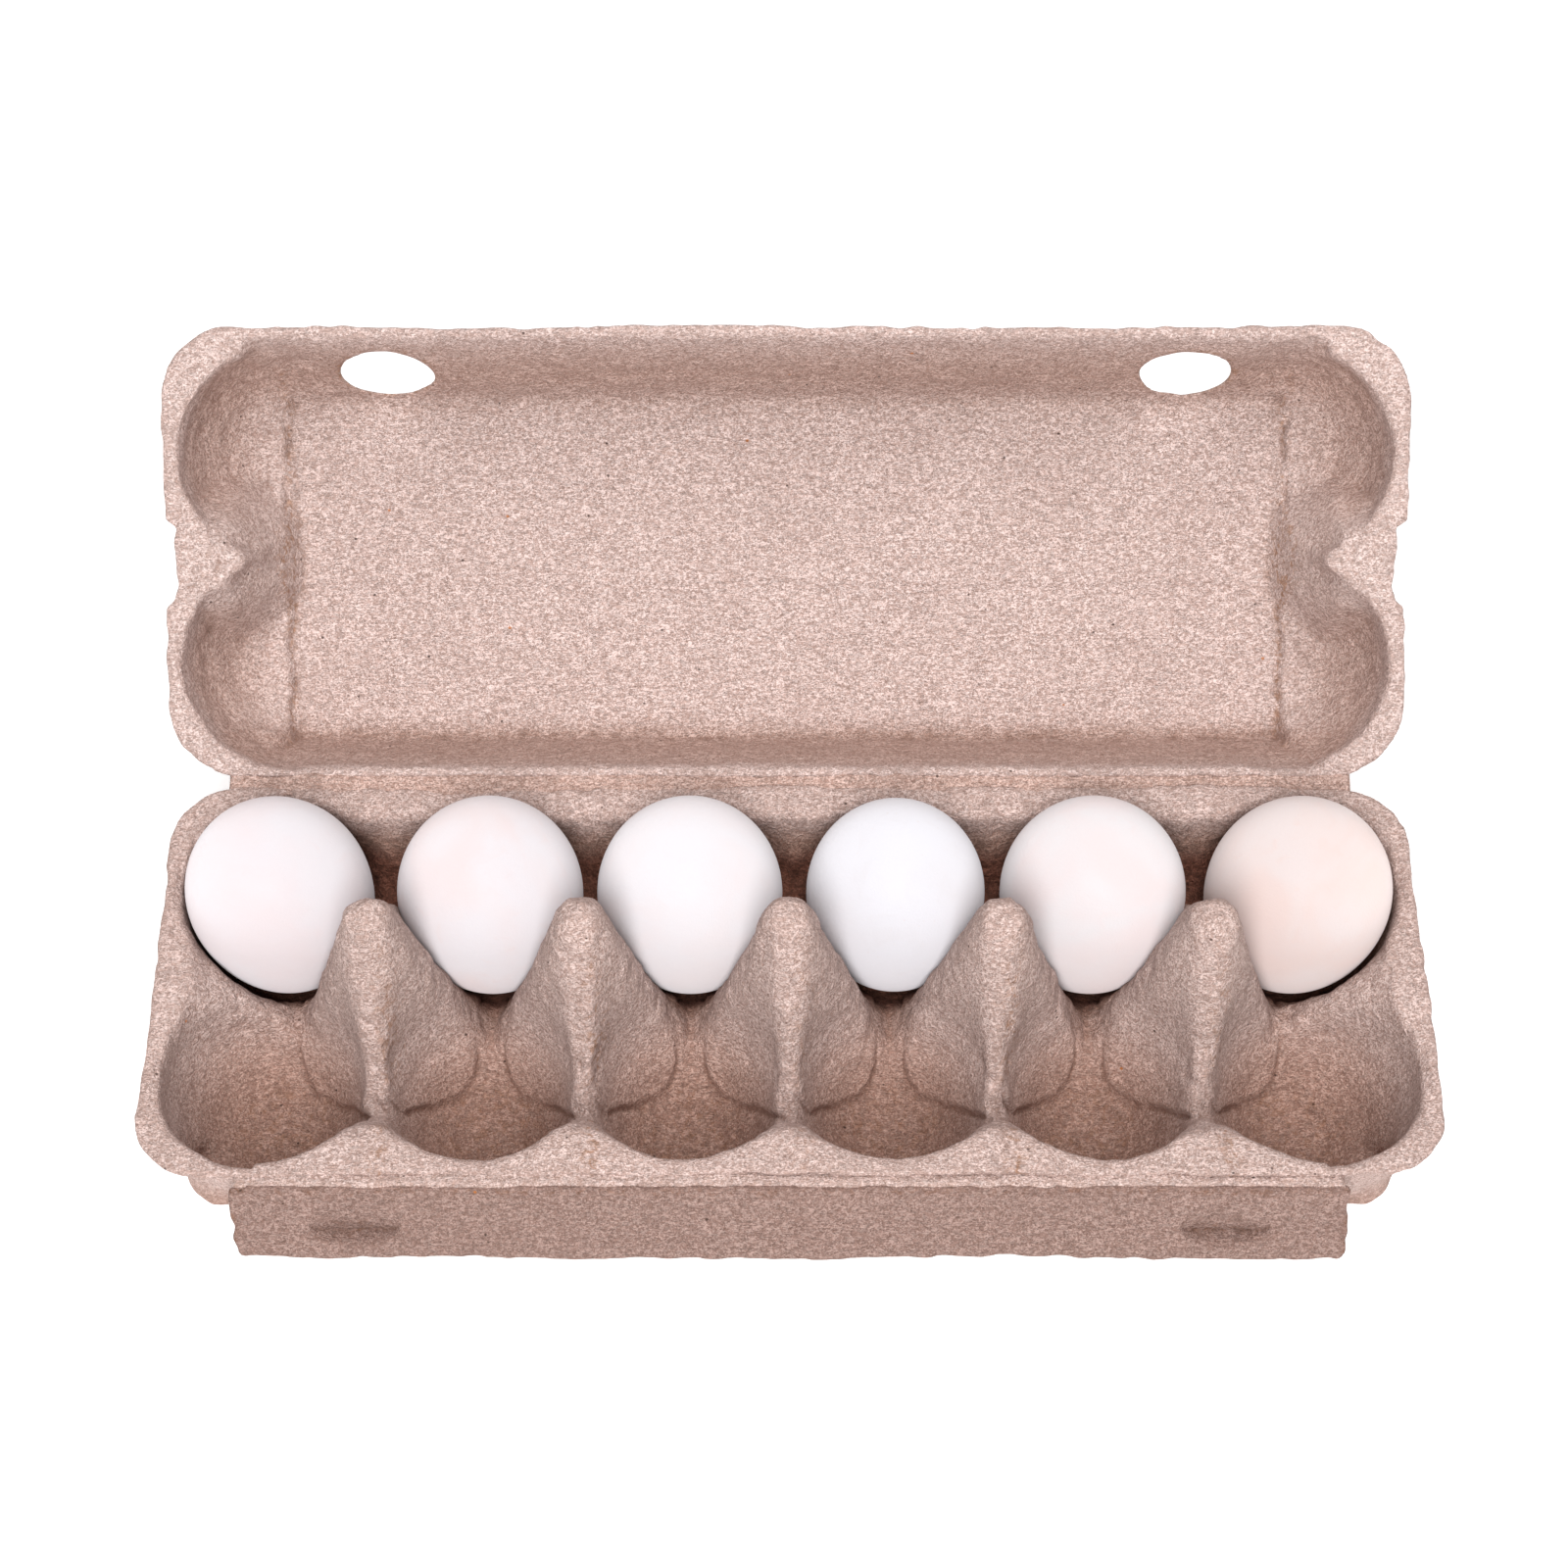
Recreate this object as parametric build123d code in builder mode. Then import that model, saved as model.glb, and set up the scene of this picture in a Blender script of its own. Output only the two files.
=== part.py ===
from build123d import *
import os
from math import cos, radians, sin

# A moulded-pulp carton for twelve eggs, lid open, with six eggs in its back row.
# Millimetres and degrees. X runs along the carton, Y back towards the lid's hinge, Z up.
# The origin is the middle of the tray's base, on the plane that the carton stands on.

# Pulp
PULP = 2.0
CUT_MARGIN = 2.0

# Tray: two rows of six cups
CELL_PITCH = 48.0
CELLS_PER_ROW = 6
CUP_ROW_Y = 24.6
END_CUP_X = 121.2
RIM_HEIGHT = 40.0
TRAY_HALF_LENGTH = 149.5
TRAY_HALF_WIDTH = 51.6
TRAY_CORNER_RADIUS = 16.0
FLANGE_REACH = 9.0
BASE_FILL_HEIGHT = 13.0

# Cup wall, from its floor to above the post tips: radius and height at each bend
FLOOR_RADIUS = 9.5
FLOOR_HEIGHT = 2.2
BOWL_LOW = (15.5, 8.0)
BOWL_MID = (20.5, 18.0)
BOWL_HIGH = (23.0, 29.0)
CUP_RIM_RADIUS = 23.5
CUP_SHOULDER = (25.4, 55.0)
CUP_TOP = (29.6, 71.0)
END_CUP_EXTRA = 0.3

# Centre posts between the rows, and the webs that run from them to the walls
POST_HEIGHT = 70.0
POST_TIP_RADIUS = 5.0
POST_SHOULDER_RADIUS = 10.0
POST_SHOULDER_HEIGHT = 52.0
POST_WAIST_RADIUS = 16.0
POST_WAIST_HEIGHT = 29.0
POST_FOOT_RADIUS = 25.4
WEB_HALF_WIDTH = 5.0
WEB_END_Y = 30.0
WEB_END_HEIGHT = 20.0

# Half posts along the walls, with flat tops level with the rim
FRONT_POST_RADIUS = 12.0
BACK_POST_RADIUS = 8.0
WALL_POST_FOOT_RADIUS = 28.0
END_RIDGE_RADIUS = 9.0
END_RIDGE_FOOT_RADIUS = 33.0

# Folds: the thinned lines of pulp that the lid and the flap turn on
FOLD_REACH = 1.2
FOLD_RADIUS = 0.6
FOLD_THICKNESS = 0.8
FOLD_CLEARANCE = 0.3
LID_FOLD_HALF_LENGTH = 137.0
HINGE_Y = TRAY_HALF_WIDTH + FOLD_REACH
FACE_GAP = 0.2
LID_HINGE_Z = RIM_HEIGHT + FACE_GAP

# Lid, as it stands open; places along it are measured from its hinge, depths from its rim
LID_OPEN_ANGLE = 38.2
LID_OFFSET_X = -1.0
LID_HALF_LENGTH = 150.5
LID_REACH = 110.0
LID_CORNER_RADIUS = 18.0
LID_INNER_DEPTH = 31.0
LID_BACK_WALL_RIM = 3.0
LID_BACK_WALL_DEEP = 7.5
LID_FRONT_WALL_RIM = 107.0
LID_FRONT_WALL_DEEP = 92.8
LID_PANEL_HALF_LENGTH = 124.3
LID_PANEL_DRAFT = 6.5
LID_SPLIT_INSET = 3.0
LOBE_X = 121.0
LOBE_REACHES = (28.5, 79.0)
LOBE_RIM_RADIUS = 25.5
LOBE_HIGH = (25.1, 8.0)
LOBE_MID = (22.8, 17.0)
LOBE_LOW = (18.0, 25.0)
LOBE_FLOOR = (12.0, 29.0)

# Lock: oval holes in the lid's front wall, and the flap's buttons that pop into them
LOCK_X = 98.5
LOCK_HOLE_WIDTH = 23.0
LOCK_HOLE_DEPTHS = (4.5, 28.0)
FLAP_HALF_LENGTH = 125.6
FLAP_HEIGHT = 20.5
FLAP_DROOP = 55.0
FLAP_CORNER_RADIUS = 3.0
BUTTON_BASE = (18.0, 9.4)
BUTTON_TIP = (8.0, 3.6)
BUTTON_BASE_REACH = 12.6
BUTTON_TIP_REACH = 14.4
BUTTON_DEPTH = 4.0

# Eggs, blunt end up: place along the row, lean of the top towards +X, and girth
EGG_X = (-122.5, -71.9, -24.0, 25.3, 72.6, 122.0)
EGG_LEAN = (-7.0, 0.0, 0.0, 0.0, 0.0, 4.0)
EGG_DIAMETER = (44.0, 44.4, 44.4, 42.8, 44.4, 44.2)
EGG_Y = CUP_ROW_Y
EGG_WIDEST_HEIGHT = 35.0
EGG_BLUNT_LENGTH = 26.0
EGG_NARROW_LENGTH = 31.0
QUARTER_HANDLE = 0.5523

CUP_XS = [
    -END_CUP_X,
    -1.5 * CELL_PITCH,
    -0.5 * CELL_PITCH,
    0.5 * CELL_PITCH,
    1.5 * CELL_PITCH,
    END_CUP_X,
]
POST_XS = [(number - CELLS_PER_ROW / 2) * CELL_PITCH for number in range(1, CELLS_PER_ROW)]

os.makedirs("parts", exist_ok=True)


def save(piece, name):
    """Label a finished piece with its node's name and write it."""
    piece.part.label = name
    export_step(piece.part, f"parts/{name}.step")


def frustum(x, y, low, high, low_radius, high_radius):
    """Add an upright cone, cut off at both ends, to the part being built."""
    with Locations((x, y, (low + high) / 2)):
        Cone(low_radius, high_radius, high - low)


def bowl(bends, grow, lowest):
    """A round plug about Z through (radius, height) bends, its radii grown, on a straight stem."""
    outline = [(radius + grow, height) for radius, height in bends]
    if lowest < bends[0][1]:
        outline.insert(0, (outline[0][0], lowest))
    with BuildPart() as plug:
        with BuildSketch(Plane.XZ):
            with BuildLine():
                Polyline((0, lowest), *outline, (0, bends[-1][1]), close=True)
            make_face()
        revolve(axis=Axis.Z)
    return plug.part


def cup(extra, grow, lowest):
    """The space inside one cup, wider by extra above its floor and grown on every side."""
    wall = [BOWL_LOW, BOWL_MID, BOWL_HIGH, (CUP_RIM_RADIUS, RIM_HEIGHT), CUP_SHOULDER, CUP_TOP]
    bends = [(FLOOR_RADIUS, FLOOR_HEIGHT)] + [(radius + extra, height) for radius, height in wall]
    return bowl(bends, grow, lowest)


def ridges(column, inset, base, overhang):
    """All that stands around a column's cups, up to the tray's upper surface moved in by inset."""
    rim = RIM_HEIGHT - inset
    fill = BASE_FILL_HEIGHT - inset
    waist = POST_WAIST_HEIGHT - inset
    shoulder = POST_SHOULDER_HEIGHT - inset
    tip = POST_HEIGHT - inset
    web_end = WEB_END_HEIGHT - inset
    length = 2 * (TRAY_HALF_LENGTH + overhang)
    width = 2 * (TRAY_HALF_WIDTH + overhang)
    corner = TRAY_CORNER_RADIUS + overhang
    flange = FLANGE_REACH + overhang - inset
    with BuildPart() as mass:
        with BuildSketch(Plane.XY.offset(base)):
            RectangleRounded(length, width, corner)
        extrude(amount=fill - base)
        with BuildSketch(Plane.XY.offset(base)):
            RectangleRounded(length, width, corner)
            RectangleRounded(length - 2 * flange, width - 2 * flange, corner - flange, mode=Mode.SUBTRACT)
        extrude(amount=rim - base)
        for x in column:
            if abs(x) == TRAY_HALF_LENGTH:
                frustum(x, 0, fill, rim, END_RIDGE_FOOT_RADIUS - inset, END_RIDGE_RADIUS - inset)
                continue
            frustum(x, 0, fill, waist, POST_FOOT_RADIUS - inset, POST_WAIST_RADIUS - inset)
            frustum(x, 0, waist, shoulder, POST_WAIST_RADIUS - inset, POST_SHOULDER_RADIUS - inset)
            frustum(x, 0, shoulder, tip, POST_SHOULDER_RADIUS - inset, POST_TIP_RADIUS - inset)
            for y, radius in ((-TRAY_HALF_WIDTH, FRONT_POST_RADIUS), (TRAY_HALF_WIDTH, BACK_POST_RADIUS)):
                frustum(x, y, fill, rim, WALL_POST_FOOT_RADIUS - inset, radius - inset)
            with BuildSketch(Plane.YZ.offset(x)):
                with BuildLine():
                    Polyline(
                        (-WEB_END_Y, base),
                        (-WEB_END_Y, web_end),
                        (inset - POST_TIP_RADIUS, tip),
                        (POST_TIP_RADIUS - inset, tip),
                        (WEB_END_Y, web_end),
                        (WEB_END_Y, base),
                        close=True,
                    )
                make_face()
            extrude(amount=WEB_HALF_WIDTH - inset, both=True)
        with BuildSketch(Plane.XY.offset(base)):
            RectangleRounded(length, width, corner)
        extrude(amount=POST_HEIGHT - base, mode=Mode.INTERSECT)
    return mass.part


def cut_cup(mass, place, grow, lowest):
    """Take the cup at a place, grown on every side, out of a mass."""
    extra = END_CUP_EXTRA if abs(place[0]) == END_CUP_X else 0
    with BuildPart() as cut:
        add(mass)
        with Locations(place):
            add(cup(extra, grow, lowest), mode=Mode.SUBTRACT)
    return cut.part


# Tray: each cup with its share of the posts and the wall is a piece of its own. It is the pulp
# between the tray's upper surface and the same surface one thickness lower
cell_edges = [-TRAY_HALF_LENGTH, *POST_XS, TRAY_HALF_LENGTH]
for number, cup_x in enumerate(CUP_XS):
    left, right = cell_edges[number : number + 2]
    above = ridges((left, right), 0, 0, 0)
    below = ridges((left, right), PULP, -CUT_MARGIN, CUT_MARGIN)
    for row, side in (("front", -1), ("back", 1)):
        cup_place = (cup_x, side * CUP_ROW_Y)
        with BuildPart() as cell:
            add(cut_cup(above, cup_place, 0, FLOOR_HEIGHT))
            with Locations(((left + right) / 2, side * TRAY_HALF_WIDTH / 2, POST_HEIGHT / 2)):
                Box(right - left, TRAY_HALF_WIDTH, POST_HEIGHT, mode=Mode.INTERSECT)
            add(cut_cup(below, cup_place, PULP, -CUT_MARGIN), mode=Mode.SUBTRACT)
        save(cell, f"egg_cell_{row}_{number + 1}")

# Folds along the tray's back and front edges: a thin web that ends in a round line of pulp
for name, side, axis_height, half_length in (
    ("lid_fold", 1, LID_HINGE_Z, LID_FOLD_HALF_LENGTH),
    ("flap_fold", -1, RIM_HEIGHT, FLAP_HALF_LENGTH),
):
    with BuildPart() as fold:
        with BuildSketch(Plane.YZ):
            with Locations((side * (TRAY_HALF_WIDTH + FOLD_REACH / 2), axis_height - FOLD_THICKNESS / 2)):
                Rectangle(FOLD_REACH, FOLD_THICKNESS)
            with Locations((side * HINGE_Y, axis_height)):
                Circle(FOLD_RADIUS)
        extrude(amount=half_length, both=True)
    save(fold, name)

# Lid, on a plane through its hinge: local Y runs along the lid and depth is against local Z
open_angle = radians(LID_OPEN_ANGLE)
lid_plane = Plane(
    origin=(LID_OFFSET_X, HINGE_Y, LID_HINGE_Z),
    x_dir=(1, 0, 0),
    z_dir=(0, -sin(open_angle), cos(open_angle)),
)
rim_plane = lid_plane.offset(-FACE_GAP)
lid_edge = FOLD_RADIUS + FOLD_CLEARANCE


def lid_hollow(grow):
    """The space inside the lid, grown on every side: a drafted box and two domed lobes at each end."""
    deep = LID_INNER_DEPTH + grow
    bends = [LOBE_FLOOR, LOBE_LOW, LOBE_MID, LOBE_HIGH, (LOBE_RIM_RADIUS, 0)]
    lobe = bowl([(radius, -depth) for radius, depth in bends], grow, -LOBE_FLOOR[1] - grow)
    with BuildPart() as hollow:
        with BuildSketch(rim_plane):
            with Locations((0, (LID_BACK_WALL_RIM + LID_FRONT_WALL_RIM) / 2)):
                Rectangle(
                    2 * (LID_PANEL_HALF_LENGTH + LID_PANEL_DRAFT + grow),
                    LID_FRONT_WALL_RIM - LID_BACK_WALL_RIM + 2 * grow,
                )
        with BuildSketch(rim_plane.offset(-deep)):
            with Locations((0, (LID_BACK_WALL_DEEP + LID_FRONT_WALL_DEEP) / 2)):
                Rectangle(
                    2 * (LID_PANEL_HALF_LENGTH + grow),
                    LID_FRONT_WALL_DEEP - LID_BACK_WALL_DEEP + 2 * grow,
                )
        loft()
        for x in (-LOBE_X, LOBE_X):
            for reach in LOBE_REACHES:
                with Locations(rim_plane.location * Location((x, reach, 0))):
                    add(lobe)
    return hollow.part


def wall_reach(depth):
    """How far from the hinge the inner face of the lid's front wall is, at a depth."""
    lean = (LID_FRONT_WALL_RIM - LID_FRONT_WALL_DEEP) / LID_INNER_DEPTH
    return LID_FRONT_WALL_RIM - depth * lean


with BuildPart() as lid:
    with BuildSketch(rim_plane):
        with Locations((0, (lid_edge + LID_REACH) / 2)):
            RectangleRounded(2 * LID_HALF_LENGTH, LID_REACH - lid_edge, LID_CORNER_RADIUS)
    extrude(amount=-PULP)
    add(lid_hollow(PULP))
    add(lid_hollow(0), mode=Mode.SUBTRACT)
    hole_near = wall_reach(LOCK_HOLE_DEPTHS[1])
    hole_far = wall_reach(LOCK_HOLE_DEPTHS[0])
    with BuildSketch(rim_plane):
        with Locations((-LOCK_X, (hole_near + hole_far) / 2), (LOCK_X, (hole_near + hole_far) / 2)):
            Ellipse(LOCK_HOLE_WIDTH / 2, (hole_far - hole_near) / 2)
    extrude(amount=-LID_INNER_DEPTH - 2 * PULP, mode=Mode.SUBTRACT)

# The lid's walls, panel and ends are pieces of their own, cut apart along flat planes
end_cut = LID_PANEL_HALF_LENGTH - LID_SPLIT_INSET
back_cut = LID_BACK_WALL_DEEP + LID_SPLIT_INSET
front_cut = LID_FRONT_WALL_DEEP - LID_SPLIT_INSET
for name, x_low, x_high, reach_low, reach_high in (
    ("lid_left_end", -LID_HALF_LENGTH, -end_cut, 0, LID_REACH),
    ("lid_right_end", end_cut, LID_HALF_LENGTH, 0, LID_REACH),
    ("lid_back_wall", -end_cut, end_cut, 0, back_cut),
    ("lid_panel", -end_cut, end_cut, back_cut, front_cut),
    ("lid_front_wall", -end_cut, end_cut, front_cut, LID_REACH),
):
    with BuildPart() as lid_piece:
        add(lid.part)
        with BuildSketch(lid_plane):
            with Locations(((x_low + x_high) / 2, (reach_low + reach_high) / 2)):
                Rectangle(x_high - x_low, reach_high - reach_low)
        extrude(amount=-2 * LID_INNER_DEPTH, mode=Mode.INTERSECT)
    save(lid_piece, name)

# Flap, hanging from the front fold: local Y runs down it and local Z out of its far face
droop = radians(FLAP_DROOP)
flap_plane = Plane(
    origin=(0, -HINGE_Y, RIM_HEIGHT),
    x_dir=(1, 0, 0),
    z_dir=(0, sin(droop), -cos(droop)),
)
near_face = flap_plane.offset(-PULP / 2)
far_face = flap_plane.offset(PULP / 2)


def button(width_cut, face):
    """One solid for each lock button, from a face of the flap out to the button's flat tip."""
    plugs = []
    for x in (-LOCK_X, LOCK_X):
        with BuildPart() as plug:
            with BuildSketch(face):
                with Locations((x, BUTTON_BASE_REACH)):
                    Ellipse(BUTTON_BASE[0] / 2 - width_cut, BUTTON_BASE[1] / 2 - width_cut)
            with BuildSketch(face.offset(BUTTON_DEPTH)):
                with Locations((x, BUTTON_TIP_REACH)):
                    Ellipse(BUTTON_TIP[0] / 2 - width_cut / 2, BUTTON_TIP[1] / 2 - width_cut / 2)
            loft()
        plugs.append(plug.part)
    return plugs


with BuildPart() as lock_flap:
    with BuildSketch(near_face):
        with Locations((0, (lid_edge + FLAP_HEIGHT) / 2)):
            Rectangle(2 * FLAP_HALF_LENGTH, FLAP_HEIGHT - lid_edge)
    extrude(amount=PULP)
    outer_corners = lock_flap.edges().filter_by(Axis((0, 0, 0), tuple(flap_plane.z_dir)))
    fillet(outer_corners.sort_by(Axis.Z)[:2], radius=FLAP_CORNER_RADIUS)
    for bump in button(0, far_face):
        add(bump)
    for dish in button(PULP / 2, near_face):
        add(dish, mode=Mode.SUBTRACT)
save(lock_flap, "lock_flap")

# Eggs: an oval of two quarter curves that meet at the widest line, turned about a leaning axis
for number, (x, lean_angle, diameter) in enumerate(zip(EGG_X, EGG_LEAN, EGG_DIAMETER), start=1):
    lean = radians(lean_angle)
    egg_plane = Plane(
        origin=(x, EGG_Y, EGG_WIDEST_HEIGHT),
        x_dir=(cos(lean), 0, -sin(lean)),
        z_dir=(0, -1, 0),
    )
    girth = diameter / 2
    handle = QUARTER_HANDLE * girth
    low_handle = -QUARTER_HANDLE * EGG_NARROW_LENGTH
    high_handle = QUARTER_HANDLE * EGG_BLUNT_LENGTH
    with BuildPart() as egg:
        with BuildSketch(egg_plane):
            with BuildLine():
                Bezier((0, -EGG_NARROW_LENGTH), (handle, -EGG_NARROW_LENGTH), (girth, low_handle), (girth, 0))
                Bezier((girth, 0), (girth, high_handle), (handle, EGG_BLUNT_LENGTH), (0, EGG_BLUNT_LENGTH))
                Line((0, EGG_BLUNT_LENGTH), (0, -EGG_NARROW_LENGTH))
            make_face()
        revolve(axis=Axis(tuple(egg_plane.origin), (sin(lean), 0, cos(lean))))
    save(egg, f"egg_{number}")
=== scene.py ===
"""The looks of a moulded-pulp egg carton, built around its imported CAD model."""

import math

import bpy
import numpy as np
import openvdb as vdb
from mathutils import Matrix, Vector


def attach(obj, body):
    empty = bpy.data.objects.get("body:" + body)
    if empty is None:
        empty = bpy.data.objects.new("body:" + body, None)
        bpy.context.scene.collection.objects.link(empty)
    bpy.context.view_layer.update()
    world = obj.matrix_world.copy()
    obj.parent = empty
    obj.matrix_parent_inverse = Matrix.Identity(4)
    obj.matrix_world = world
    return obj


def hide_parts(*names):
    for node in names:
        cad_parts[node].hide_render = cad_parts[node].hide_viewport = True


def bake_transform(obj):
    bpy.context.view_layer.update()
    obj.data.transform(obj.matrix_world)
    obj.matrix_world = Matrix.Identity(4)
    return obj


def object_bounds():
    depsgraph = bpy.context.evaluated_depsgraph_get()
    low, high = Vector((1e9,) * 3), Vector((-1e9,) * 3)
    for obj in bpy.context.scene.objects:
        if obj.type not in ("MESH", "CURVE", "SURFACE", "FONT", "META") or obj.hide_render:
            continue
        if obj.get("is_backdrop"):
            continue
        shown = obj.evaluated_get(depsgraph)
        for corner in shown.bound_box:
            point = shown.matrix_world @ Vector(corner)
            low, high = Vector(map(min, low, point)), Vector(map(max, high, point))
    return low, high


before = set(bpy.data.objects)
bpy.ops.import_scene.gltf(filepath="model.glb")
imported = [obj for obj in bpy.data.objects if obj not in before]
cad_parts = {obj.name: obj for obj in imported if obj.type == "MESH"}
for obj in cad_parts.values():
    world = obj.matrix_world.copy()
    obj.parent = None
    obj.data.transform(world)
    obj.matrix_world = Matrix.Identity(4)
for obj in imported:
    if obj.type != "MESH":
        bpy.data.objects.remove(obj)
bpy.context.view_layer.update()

# Lengths in this script are millimetres, in the frame of the CAD model, and MM turns them to metres
MM = 0.001

# The tray
HALF_LENGTH = 149.5
HALF_WIDTH = 51.6
CORNER = 16.0
RIM = 40.0
CUP_Y = 24.6
CUP_XS = (-121.2, -72.0, -24.0, 24.0, 72.0, 121.2)
POST_XS = (-96.0, -48.0, 0.0, 48.0, 96.0)
FLOOR = 2.2
END_EXTRA = 0.6
TRAY_SHEET = 2.1
RIM_BAND = 9.0
SADDLE_HEIGHT = 9.0

# The tray's posts and cups, each as (radius, height) bends from the bottom up
POST_HEIGHT = 70.0
POST_BENDS = (
    (27, 7.5),
    (23.8, 11.5),
    (20.2, 18),
    (16.6, 28),
    (13.8, 37),
    (11.4, 45),
    (9.5, 52),
    (7.4, 60),
    (5.6, 66),
    (3.8, POST_HEIGHT),
)
FRONT_POST_BENDS = ((30.0, 12), (12.2, RIM))
BACK_POST_BENDS = ((17.0, 12), (7.0, RIM))
END_POST_BENDS = ((33.0, 14), (9.0, RIM))
CUP_BENDS = ((9.5, FLOOR), (15.5, 8), (20.5, 18), (23.0, 29), (23.5, RIM), (25.4, 55), (29.6, 71))
CUP_WINDOW = (34, 36)

# The webs that run from each centre post to the front and back walls, falling as they go
WEB_START = 2.0
WEB_REACH = 30.0
WEB_HIGH = 69.0
WEB_LOW = 19.0
WEB_HALF_THICKNESS = 3.0
WEB_DRAFT = 0.14

# The pads on the posts' faces: their feet by the angle from the tray's middle line, and the mould
# lines between them by height. No post stands past OUTERMOST_POST, so a cup has no pad there.
DEGREES = 57.3
HALF_PITCH = 24
OUTERMOST_POST = 110
PAD_THICK = 1.25
PAD_ANGLES = (4, 9, 13, 20, 38, 66, 90, 110)
PAD_FEET = (24, 14, 9, 6.6, 5.0, 7.2, 16, 30)
LINE_HEIGHTS = (2, 3.3, 4.9, 7.7, 15.8, 22)
LINE_ANGLES = (60, 43, 17.8, 9.6, 2.5, 1.5)

# The lid, in its own frame: x along it, s from its hinge, d down from its rim
LID_ANGLE = math.radians(38.2)
LID_X = -1.0
HINGE_Y = 52.8
HINGE_Z = 40.2
FACE_GAP = 0.2
LID_LENGTH = 150.5
LID_REACH = 110.0
LID_CORNER = 18.0
LID_DEEP = 31.0
PANEL = 124.3
PANEL_DRAFT = 6.5
LOBE_X = 121.0
LOBE_S = (28.5, 79.0)
LOBE_DEEP = 29.0
LOBE_BENDS = ((12.0, -LOBE_DEEP), (18.0, -25), (22.8, -17), (25.1, -8), (25.5, 0))
LID_SHEET = 2.0
LID_START = 0.9
END_PAD_S = 53.5
END_PAD_XS = (121.5, 125.0, 135.0, 140.0)
END_PAD_DEPTHS = (32, 23, 2.8, 0.5)
LOCK_S = 99.0
LOCK_HALF = (11.2, 4.8)

# The flap, in its own frame: x along it, down from its fold, out of its far face
FLAP_ANGLE = math.radians(55.0)
FLAP_LENGTH = 126.6
FLAP_REACH = 20.5
FLAP_SHEET = 1.9
FLAP_START = 0.9
LOCK_X = 98.5
BUTTON_HALF = 10.2
BUTTON_DOWN = 11.2
BUTTON_RISE = 3.6


# ---------------------------------------------------------------- fields
def smin(a, b, k):
    """The lesser of two fields, with their meeting rounded over about k."""
    h = np.clip(0.5 + 0.5 * (b - a) / k, 0, 1)
    return b + (a - b) * h - k * h * (1 - h)


def smax(a, b, k):
    """The greater of two fields, with their meeting rounded over about k."""
    return -smin(-a, -b, k)


def step_up(value, low, high):
    """0 below low, 1 above high, and smooth between."""
    t = np.clip((value - low) / (high - low), 0, 1)
    return t * t * (3 - 2 * t)


def bump(value, centre, width):
    return np.exp(-(((value - centre) / width) ** 2))


def profile(bends, soften):
    """A smooth radius at each height, from (radius, height) bends, with the slope's cosine."""
    heights = np.arange(bends[0][1] - 12, bends[-1][1] + 12, 0.25)
    radii = np.interp(heights, [h for _, h in bends], [r for r, _ in bends])
    count = max(3, int(soften / 0.25) | 1)
    kernel = np.hanning(count + 2)[1:-1]
    padded = np.pad(radii, count // 2, mode="edge")
    radii = np.convolve(padded, kernel / kernel.sum(), "valid")
    cosine = 1 / np.sqrt(1 + np.gradient(radii, heights) ** 2)
    return lambda z: (
        np.interp(z, heights, radii).astype(np.float32),
        np.interp(z, heights, cosine).astype(np.float32),
    )


def grid_axes(low, high, voxel):
    return [np.arange(a, b + voxel, voxel, dtype=np.float32) for a, b in zip(low, high)]


def spline_weights(places, cell):
    t = (places - places[0]) / cell
    i = np.floor(t).astype(int)
    f = t - i
    weights = np.zeros((len(places), i.max() + 4), np.float32)
    rows = np.arange(len(places))
    for k, value in enumerate(
        (
            (1 - f) ** 3 / 6,
            (3 * f**3 - 6 * f**2 + 4) / 6,
            (-3 * f**3 + 3 * f**2 + 3 * f + 1) / 6,
            f**3 / 6,
        )
    ):
        weights[rows, i + k] = value
    return weights


def noise(axes, cells, seed):
    """Smooth random values on a grid, about -2 to 2, whose lumps are about cells in size."""
    weights = [spline_weights(a, c) for a, c in zip(axes, cells)]
    lattice = np.random.default_rng(seed).standard_normal([w.shape[1] for w in weights])
    field = np.tensordot(weights[0], lattice.astype(np.float32), (1, 0))
    for w in weights[1:]:
        field = np.tensordot(field, w, (1, 1))
    return field / field.std()


def rounded_rectangle(x, y, half_x, half_y, corner):
    qx = np.abs(x) - (half_x - corner)
    qy = np.abs(y) - (half_y - corner)
    outside = np.sqrt(np.maximum(qx, 0) ** 2 + np.maximum(qy, 0) ** 2)
    return outside + np.minimum(np.maximum(qx, qy), 0) - corner


# ---------------------------------------------------------------- meshes
def mesh_from_field(field, low, voxel):
    grid = vdb.FloatGrid(3.0)
    grid.copyFromArray(np.clip(field, -3, 3).astype(np.float32), ijk=(0, 0, 0), tolerance=0.0)
    grid.transform = vdb.createLinearTransform(voxelSize=voxel)
    points, quads = grid.convertToQuads(isovalue=0.0)
    return np.asarray(points, np.float64) + np.array(low), np.asarray(quads)


def add_mesh(name, points, faces):
    """A smooth-shaded object from points in millimetres and faces with one number of corners."""
    corners = faces.shape[1]
    mesh = bpy.data.meshes.new(name)
    mesh.vertices.add(len(points))
    mesh.vertices.foreach_set("co", (points * MM).astype(np.float32).ravel())
    mesh.loops.add(faces.size)
    mesh.loops.foreach_set("vertex_index", faces.astype(np.int32).ravel())
    mesh.polygons.add(len(faces))
    mesh.polygons.foreach_set("loop_start", np.arange(0, faces.size, corners, dtype=np.int32))
    mesh.update(calc_edges=True)
    mesh.validate()
    mesh.polygons.foreach_set("use_smooth", np.ones(len(mesh.polygons), bool))
    obj = bpy.data.objects.new(name, mesh)
    bpy.context.scene.collection.objects.link(obj)
    return obj


def vertex_positions(obj):
    co = np.zeros(len(obj.data.vertices) * 3, np.float32)
    obj.data.vertices.foreach_get("co", co)
    return co.reshape(-1, 3)


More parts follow.
